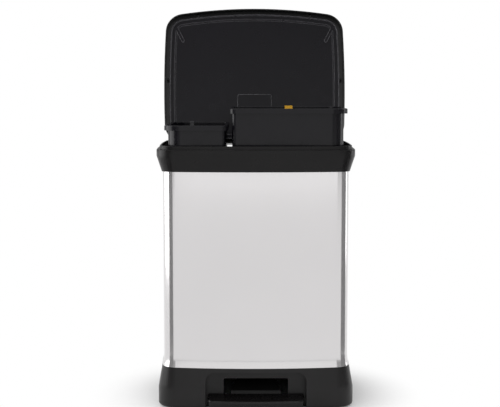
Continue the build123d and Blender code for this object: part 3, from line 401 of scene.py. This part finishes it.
def sleeve_rings(depth, heights):
    """Rings of the sleeve's face at a depth into the sheet, notched down at the back for the rod's head.

    The points nearest the notch move along the back's arc to its two edges: y falls by x squared over two
    radii.
    """
    rings = []
    for z in heights:
        ring = at_height(bin_plan(sleeve_inset(z) + depth), z)
        x, behind = ring[:, 0].copy(), ring[:, 1] > 0
        inner = behind & (np.abs(x) < NOTCH_REACH[0])
        outer = behind & ~inner & (np.abs(x) < NOTCH_REACH[1])
        ring[:, 0] = np.where(inner & (np.abs(x) > NOTCH_HALF / 2), np.sign(x) * NOTCH_HALF, x)
        ring[outer, 0] = np.sign(x[outer]) * NOTCH_EDGE
        ring[behind, 1] += (x[behind] ** 2 - ring[behind, 0] ** 2) / (2 * circle_of(PLAN_W, PLAN_BACK_BOW))
        ring[inner, 2] = np.minimum(ring[inner, 2], NOTCH_FOOT)
        rings.append(ring)
    return rings


flare_heights = np.linspace(SLEEVE_FOOT, SLEEVE_FOOT + FLARE_TALL, FLARE_STEPS)
sleeve_heights = np.concatenate([flare_heights, np.linspace(STRAIGHT_FROM, SLEEVE_TOP, STRAIGHT_STEPS)])
sleeve_skin = ring_mesh(
    "silver_sleeve",
    sleeve_rings(0, sleeve_heights) + sleeve_rings(SLEEVE_SHEET, sleeve_heights[::-1]),
    loop=True,
)
finished(
    "silver_sleeve",
    sleeve_skin,
    silver_lacquer,
    "bin",
    "sleeve_metal",
    "body_sleeve",
    sharp=SLEEVE_CREASE,
)

# Sleeve seam: the folded lock seam where the sheet's two edges meet, down the middle of the back.
# It is of the same lacquered steel and stands a little proud, with its back sunk into the sheet.
SEAM_HALF_W = 0.0042
SEAM_PROUD = 0.0009
SEAM_EDGE_SUNK = 0.0004
SEAM_BACK_SUNK = 0.001
SEAM_FROM = 0.106
SEAM_TO = 0.455
SEAM_BULGE_STEPS = 13
SEAM_RINGS = 5

seam_y = PLAN_D / 2 - SLEEVE_IN
across = np.linspace(0, pi, SEAM_BULGE_STEPS)
seam_front = seam_y - SEAM_EDGE_SUNK + SEAM_PROUD * np.sin(across) ** 0.5
seam_arc = np.stack([SEAM_HALF_W * np.cos(across), seam_front], 1)
seam_back = np.array([[-SEAM_HALF_W, seam_y - SEAM_BACK_SUNK], [SEAM_HALF_W, seam_y - SEAM_BACK_SUNK]])
seam_plan = np.concatenate([seam_arc, seam_back])
seam_heights = np.linspace(SEAM_FROM, SEAM_TO, SEAM_RINGS)
seam_skin = ring_mesh("sleeve_seam", [at_height(seam_plan, z) for z in seam_heights])
finished("sleeve_seam", seam_skin, silver_lacquer, "bin", "sleeve_metal")


# Base shell: one black moulding with a satin grain, its pedal recess, deck, lugs and ribs as moulded.
# The joined copy of its solid keeps the real form, with even shading over the rounded parts.
BLACK = (0.0098, 0.0090, 0.0094, 1)
CREASE = radians(32)
SAME_PLANE = radians(0.1)
FLAT_PATCH = 3
JOIN_WITHIN = 0.000002
CLOUD = (0.85, 1.15)
CLOUD_SCALE = 7
SHEEN_DOWN = 0.04
SHEEN_UP = 0.05
SHEEN_SCALE = 45


def joined_copy(node):
    """A CAD node's own form with its loose triangles joined at their corners.

    An edge is crisp where its faces turn by more than the crease, or where it bounds a flat face: a patch of
    three or more triangles in one plane.
    """
    mesh = bpy.data.meshes.new(f"{node}_form")
    shape = bmesh.new()
    shape.from_mesh(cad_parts[node].data)
    bmesh.ops.remove_doubles(shape, verts=shape.verts, dist=JOIN_WITHIN)
    patch = {}
    for seed in shape.faces:
        if seed in patch:
            continue
        members = [seed]
        patch[seed] = members
        for face in members:
            for edge in face.edges:
                for other in edge.link_faces:
                    if other not in patch and edge.calc_face_angle(pi) < SAME_PLANE:
                        patch[other] = members
                        members.append(other)
    for edge in shape.edges:
        turn = edge.calc_face_angle(pi)
        border = max(len(patch[face]) for face in edge.link_faces) >= FLAT_PATCH and turn > SAME_PLANE
        edge.smooth = turn < CREASE and not border
    shape.to_mesh(mesh)
    shape.free()
    return mesh


def moulding(name, colour, rough, grain, deep, gloss=0.28, edge=0.0005):
    """Moulded plastic: a cloudy tone, a patchy sheen and a fine grain so deep, of so many cells per metre."""
    material, tree, shader = blank(name, Specular_IOR_Level=gloss)
    low, high = (shade(colour, by) for by in CLOUD)
    tree.links.new(tinted(tree, speckle(tree, CLOUD_SCALE, 0, 1), low, high), shader.inputs["Base Color"])
    sheen = speckle(tree, SHEEN_SCALE, rough - SHEEN_DOWN, rough + SHEEN_UP)
    tree.links.new(sheen, shader.inputs["Roughness"])
    relief(tree, shader, speckle(tree, grain, 0, 1, detail=1), deep, edge)
    return material


base_black = moulding("base_black", BLACK, rough=0.34, grain=1600, deep=0.000006)
finished("base_moulding", joined_copy("base_shell"), base_black, "bin", "black_moulding", "base_shell")

# Rubber feet: four soft round pads pressed into the base's corner bosses.
# They are moulded of a grey-black rubber with a dry, matt face.
RUBBER = (0.022, 0.022, 0.022, 1)
foot_rubber = moulding("foot_rubber", RUBBER, rough=0.82, grain=900, deep=0.00002)
finished("rubber_feet", joined_copy("base_feet"), foot_rubber, "bin", "foot_rubber", "base_feet")

# Collar: the black moulding over the sleeve's top that carries the lid's hinge and the buckets' rims.
# Its grain is a little finer and its tone deeper than the base's.
collar_black = moulding("collar_black", shade(BLACK, 0.7), rough=0.30, grain=1800, deep=0.000005, gloss=0.2)
finished("collar_moulding", joined_copy("collar"), collar_black, "bin", "black_moulding", "collar")

# Rod guides: small black mouldings inside the back wall, of the base's plastic.
# The push rod slides up and down through them.
finished("rod_guide_blocks", joined_copy("rod_guides"), base_black, "bin", "black_moulding", "rod_guides")


# Plated steel: hinge pins, the pedal's axle and clips, the push rod with its nuts, the crank and all screws.
# Bright zinc with a faint warm and cool drift and fine drawing lines.
ZINC = (0.60, 0.60, 0.61, 1)
WARM = (1.03, 1, 0.93)
COOL = (0.95, 0.98, 1.04)
PLATE_DRIFT_SCALE = 60
SCRATCH_SCALE = 900
SCRATCH_DOWN = 0.06
SCRATCH_UP = 0.1
PLATE_GRAIN = 2500
PLATE_DEEP = 0.000004


def plating(name, colour, rough):
    """Zinc plate: two near tones drifting over the piece, with fine scratches in its sheen."""
    material, tree, shader = blank(name, Metallic=1)
    warm, cool = ((*(part * by for part, by in zip(colour, drift)), 1) for drift in (WARM, COOL))
    tree.links.new(tinted(tree, speckle(tree, PLATE_DRIFT_SCALE, 0, 1), warm, cool), shader.inputs["Base Color"])
    scratches = speckle(tree, SCRATCH_SCALE, rough - SCRATCH_DOWN, rough + SCRATCH_UP)
    tree.links.new(scratches, shader.inputs["Roughness"])
    relief(tree, shader, speckle(tree, PLATE_GRAIN, 0, 1), PLATE_DEEP)
    return material


zinc_plate = plating("zinc_plate", ZINC, rough=0.30)
for node, body in (
    ("hinge_pins", "bin"),
    ("pedal_axle", "bin"),
    ("axle_clips", "bin"),
    ("lid_crank", "lid"),
    ("crank_pin", "lid"),
    ("crank_screws", "lid"),
    ("lever_pin", "pedal"),
    ("tread_screws", "pedal"),
    ("push_rod", "rod"),
    ("rod_nuts", "rod"),
):
    finished(f"{node}_plated", joined_copy(node), zinc_plate, body, "plated_steel", node)

# Rod ends: two black mouldings that the rod screws into, each locked by a nut.
# The foot is an eye for the lever's pin, and the head a yoke for the crank's.
for node in ("rod_foot", "rod_head"):
    finished(f"{node}_moulding", joined_copy(node), base_black, "rod", "black_moulding", node)

# Lid cover: the lid's crowned outer moulding, of polished black plastic with a rounded edge.
# Its knuckles turn on the hinge pins at the back.
LID_BLACK = (0.0030, 0.0029, 0.0030, 1)
lid_gloss = moulding("lid_gloss", LID_BLACK, rough=0.16, grain=260, deep=0.000003, gloss=0.4)
finished("lid_shell", joined_copy("lid_cover"), lid_gloss, "lid", "lid_plastic", "lid_cover")

# Lid inner panel: a matt dark tray under the cover, with its rib, groove, gussets and bare pad.
# The edges of its rib and gussets are painted a little paler than its faces: a painted highlight along their
# rounded edges.
PANEL_DARK = (0.0042, 0.0036, 0.0060, 1)
# The colour of the painted edge highlight, how far round an edge it reaches, and where it fades in.
PAINTED_EDGE_HIGHLIGHT = (0.17, 0.165, 0.18, 1)
EDGE_REACH = 0.0020
HIGHLIGHT_FROM = 0.99
HIGHLIGHT_TO = 0.80

panel_matt = moulding("panel_matt", PANEL_DARK, rough=0.30, grain=1500, deep=0.000004, gloss=0.24, edge=0.0010)
tree = panel_matt.node_tree
shader = tree.nodes["Principled BSDF"]
# Painted highlight: the base colour turns paler where the bevelled normal turns away from the face's own, along
# the rib's and gussets' edges.
rounded = chain(tree, "ShaderNodeBevel", Radius=EDGE_REACH)
level = chain(tree, "ShaderNodeNewGeometry")
square_on = chain(tree, "ShaderNodeVectorMath", i0=rounded.outputs[0], i1=level.outputs["Normal"])
square_on.operation = "DOT_PRODUCT"
edge_highlight = chain(
    tree, "ShaderNodeMapRange", Value=square_on.outputs["Value"], From_Min=HIGHLIGHT_FROM, From_Max=HIGHLIGHT_TO
)
plain = shader.inputs["Base Color"].links[0].from_socket
tree.links.new(tinted(tree, edge_highlight.outputs[0], plain, PAINTED_EDGE_HIGHLIGHT), shader.inputs["Base Color"])
finished("lid_tray", joined_copy("lid_inner_panel"), panel_matt, "lid", "panel_plastic", "lid_inner_panel")

# Lid buffers: rubber stubs on the ends of the lid cover's posts, of the same rubber as the feet.
# They meet the collar's lip and soften the lid's fall.
finished("rubber_buffers", joined_copy("lid_buffers"), foot_rubber, "lid", "foot_rubber", "lid_buffers")

# Pedal lever: one steel pressing from the tread back to the push rod, turning on the axle.
# It has a black powder coat of fine orange-peel grain.
LEVER_BLACK = (0.010, 0.010, 0.010, 1)
lever_coat = moulding("lever_coat", LEVER_BLACK, rough=0.5, grain=700, deep=0.000015)
finished("lever_pressing", joined_copy("pedal_lever"), lever_coat, "pedal", "lever_steel", "pedal_lever")

# Pedal tread: a satin black moulding with rounded ends.
# Two screws from below hold it on the lever.
tread_black = moulding("tread_black", shade(BLACK, 0.8), rough=0.26, grain=1500, deep=0.000004, gloss=0.3)
finished("tread_cap", joined_copy("pedal_tread"), tread_black, "pedal", "tread_plastic", "pedal_tread")


# Buckets: two satin dark mouldings, straight under the rim and drafted below, the rim turned out and down.
# The rim's outer edge is rounded, and it is narrower on the side that faces the other bucket.
BUCKET_FRONT = -0.1205
BUCKET_BACK = 0.1045
BUCKET_SKIN = 0.0022
BUCKET_TALL = 0.433
BUCKET_CREASE = 40
GUIDE_TALL = 0.112
DRAFT_IN = 0.009
RIM_WIDE = 0.0075
RIM_NARROW = 0.004
RIM_TALL = 0.0095
RIM_ROUND = 0.002
OUTER_CORNER = 0.028
INNER_CORNER = 0.009
FOOT_ROUND = 0.008
ROUND_STEPS = 6
BUCKET_GREY = (0.0055, 0.0050, 0.0072, 1)
bucket_satin = moulding("bucket_satin", BUCKET_GREY, rough=0.20, grain=1500, deep=0.000003, gloss=0.24)


def tub_outline(left, right, front, back, left_r, right_r, steps=14):
    """A rectangle's plan with a quarter round at each corner: centre plus radius along the angle."""
    corners = (
        (right - right_r, front + right_r, right_r, -pi / 2),
        (right - right_r, back - right_r, right_r, 0),
        (left + left_r, back - left_r, left_r, pi / 2),
        (left + left_r, front + left_r, left_r, pi),
    )
    points = []
    for x, y, radius, start in corners:
        angles = start + np.linspace(0, pi / 2, steps)
        points.append(np.array([x, y]) + radius * np.stack([np.cos(angles), np.sin(angles)], 1))
    return np.concatenate(points)


def bucket_skin(name, node, body, left_rim, right_rim):
    """A bucket as rings up its outside, over its rim and down its inside.

    Each ring is the tub's outline moved out by a share of the rim's width and by a wall, then drawn in by a
    share of the draft.
    """
    low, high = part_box(node)
    top = high.z
    foot = top - BUCKET_TALL
    guide = top - GUIDE_TALL
    left = low.x + left_rim
    right = high.x - right_rim
    left_r = OUTER_CORNER if left_rim == RIM_WIDE else INNER_CORNER
    right_r = OUTER_CORNER if right_rim == RIM_WIDE else INNER_CORNER

    def ring(z, rim=0.0, wall=0.0, draft=0.0):
        """One ring: rim and draft as shares, wall in metres outward."""
        draw = draft * DRAFT_IN - wall
        return at_height(
            tub_outline(
                left - rim * left_rim + draw,
                right + rim * right_rim - draw,
                BUCKET_FRONT - rim * RIM_WIDE + draw,
                BUCKET_BACK + rim * RIM_WIDE - draw,
                left_r + rim * left_rim + wall,
                right_r + rim * right_rim + wall,
            ),
            z,
        )

    quarter = np.linspace(0, pi / 2, ROUND_STEPS)
    rings = []
    for turn in quarter:
        inward = FOOT_ROUND * (1 - np.sin(turn))
        rings.append(ring(foot + FOOT_ROUND * (1 - np.cos(turn)), wall=-inward, draft=1))
    rings += [ring(guide), ring(top - RIM_ROUND * 2), ring(top - BUCKET_SKIN)]
    rings.append(ring(top - BUCKET_SKIN, rim=1, wall=-BUCKET_SKIN))
    rings.append(ring(top - RIM_TALL, rim=1, wall=-BUCKET_SKIN))
    rings.append(ring(top - RIM_TALL, rim=1))
    for turn in quarter:
        inward = RIM_ROUND * (1 - np.cos(turn))
        rings.append(ring(top - RIM_ROUND * (1 - np.sin(turn)), rim=1, wall=-inward))
    for turn in quarter:
        outward = RIM_ROUND / 2 * (1 - np.sin(turn))
        rings.append(ring(top - RIM_ROUND / 2 * (1 - np.cos(turn)), wall=outward - BUCKET_SKIN))
    rings.append(ring(guide, wall=-BUCKET_SKIN))
    floor_z = foot + BUCKET_SKIN
    inner_round = FOOT_ROUND - BUCKET_SKIN
    for turn in quarter[::-1]:
        inward = inner_round * (1 - np.sin(turn))
        rings.append(ring(floor_z + inner_round * (1 - np.cos(turn)), wall=-BUCKET_SKIN - inward, draft=1))
    finished(name, ring_mesh(name, rings), bucket_satin, body, "bucket_plastic", node, sharp=BUCKET_CREASE)


bucket_skin("small_tub", "small_bucket", "small_bucket_body", RIM_WIDE, RIM_NARROW)
bucket_skin("large_tub", "large_bucket", "large_bucket_body", RIM_NARROW, RIM_WIDE)

# Rim clips: moulded colour marks hooked over the buckets' back rims, one amber and one dark.
# They are of a plain satin plastic and are pushed on by hand.
AMBER = (0.95, 0.50, 0.015, 1)
DARK = (0.045, 0.045, 0.050, 1)
for name, tone, colour, node, body, slot in (
    ("amber_mark", "amber_clip", AMBER, "large_bucket_clip", "large_bucket_body", "yellow_clip"),
    ("dark_mark", "dark_clip", DARK, "small_bucket_clip", "small_bucket_body", "dark_clip"),
):
    clip_plastic = moulding(tone, colour, rough=0.35, grain=1500, deep=0.000004, gloss=0.5)
    finished(name, joined_copy(node), clip_plastic, body, slot, node)
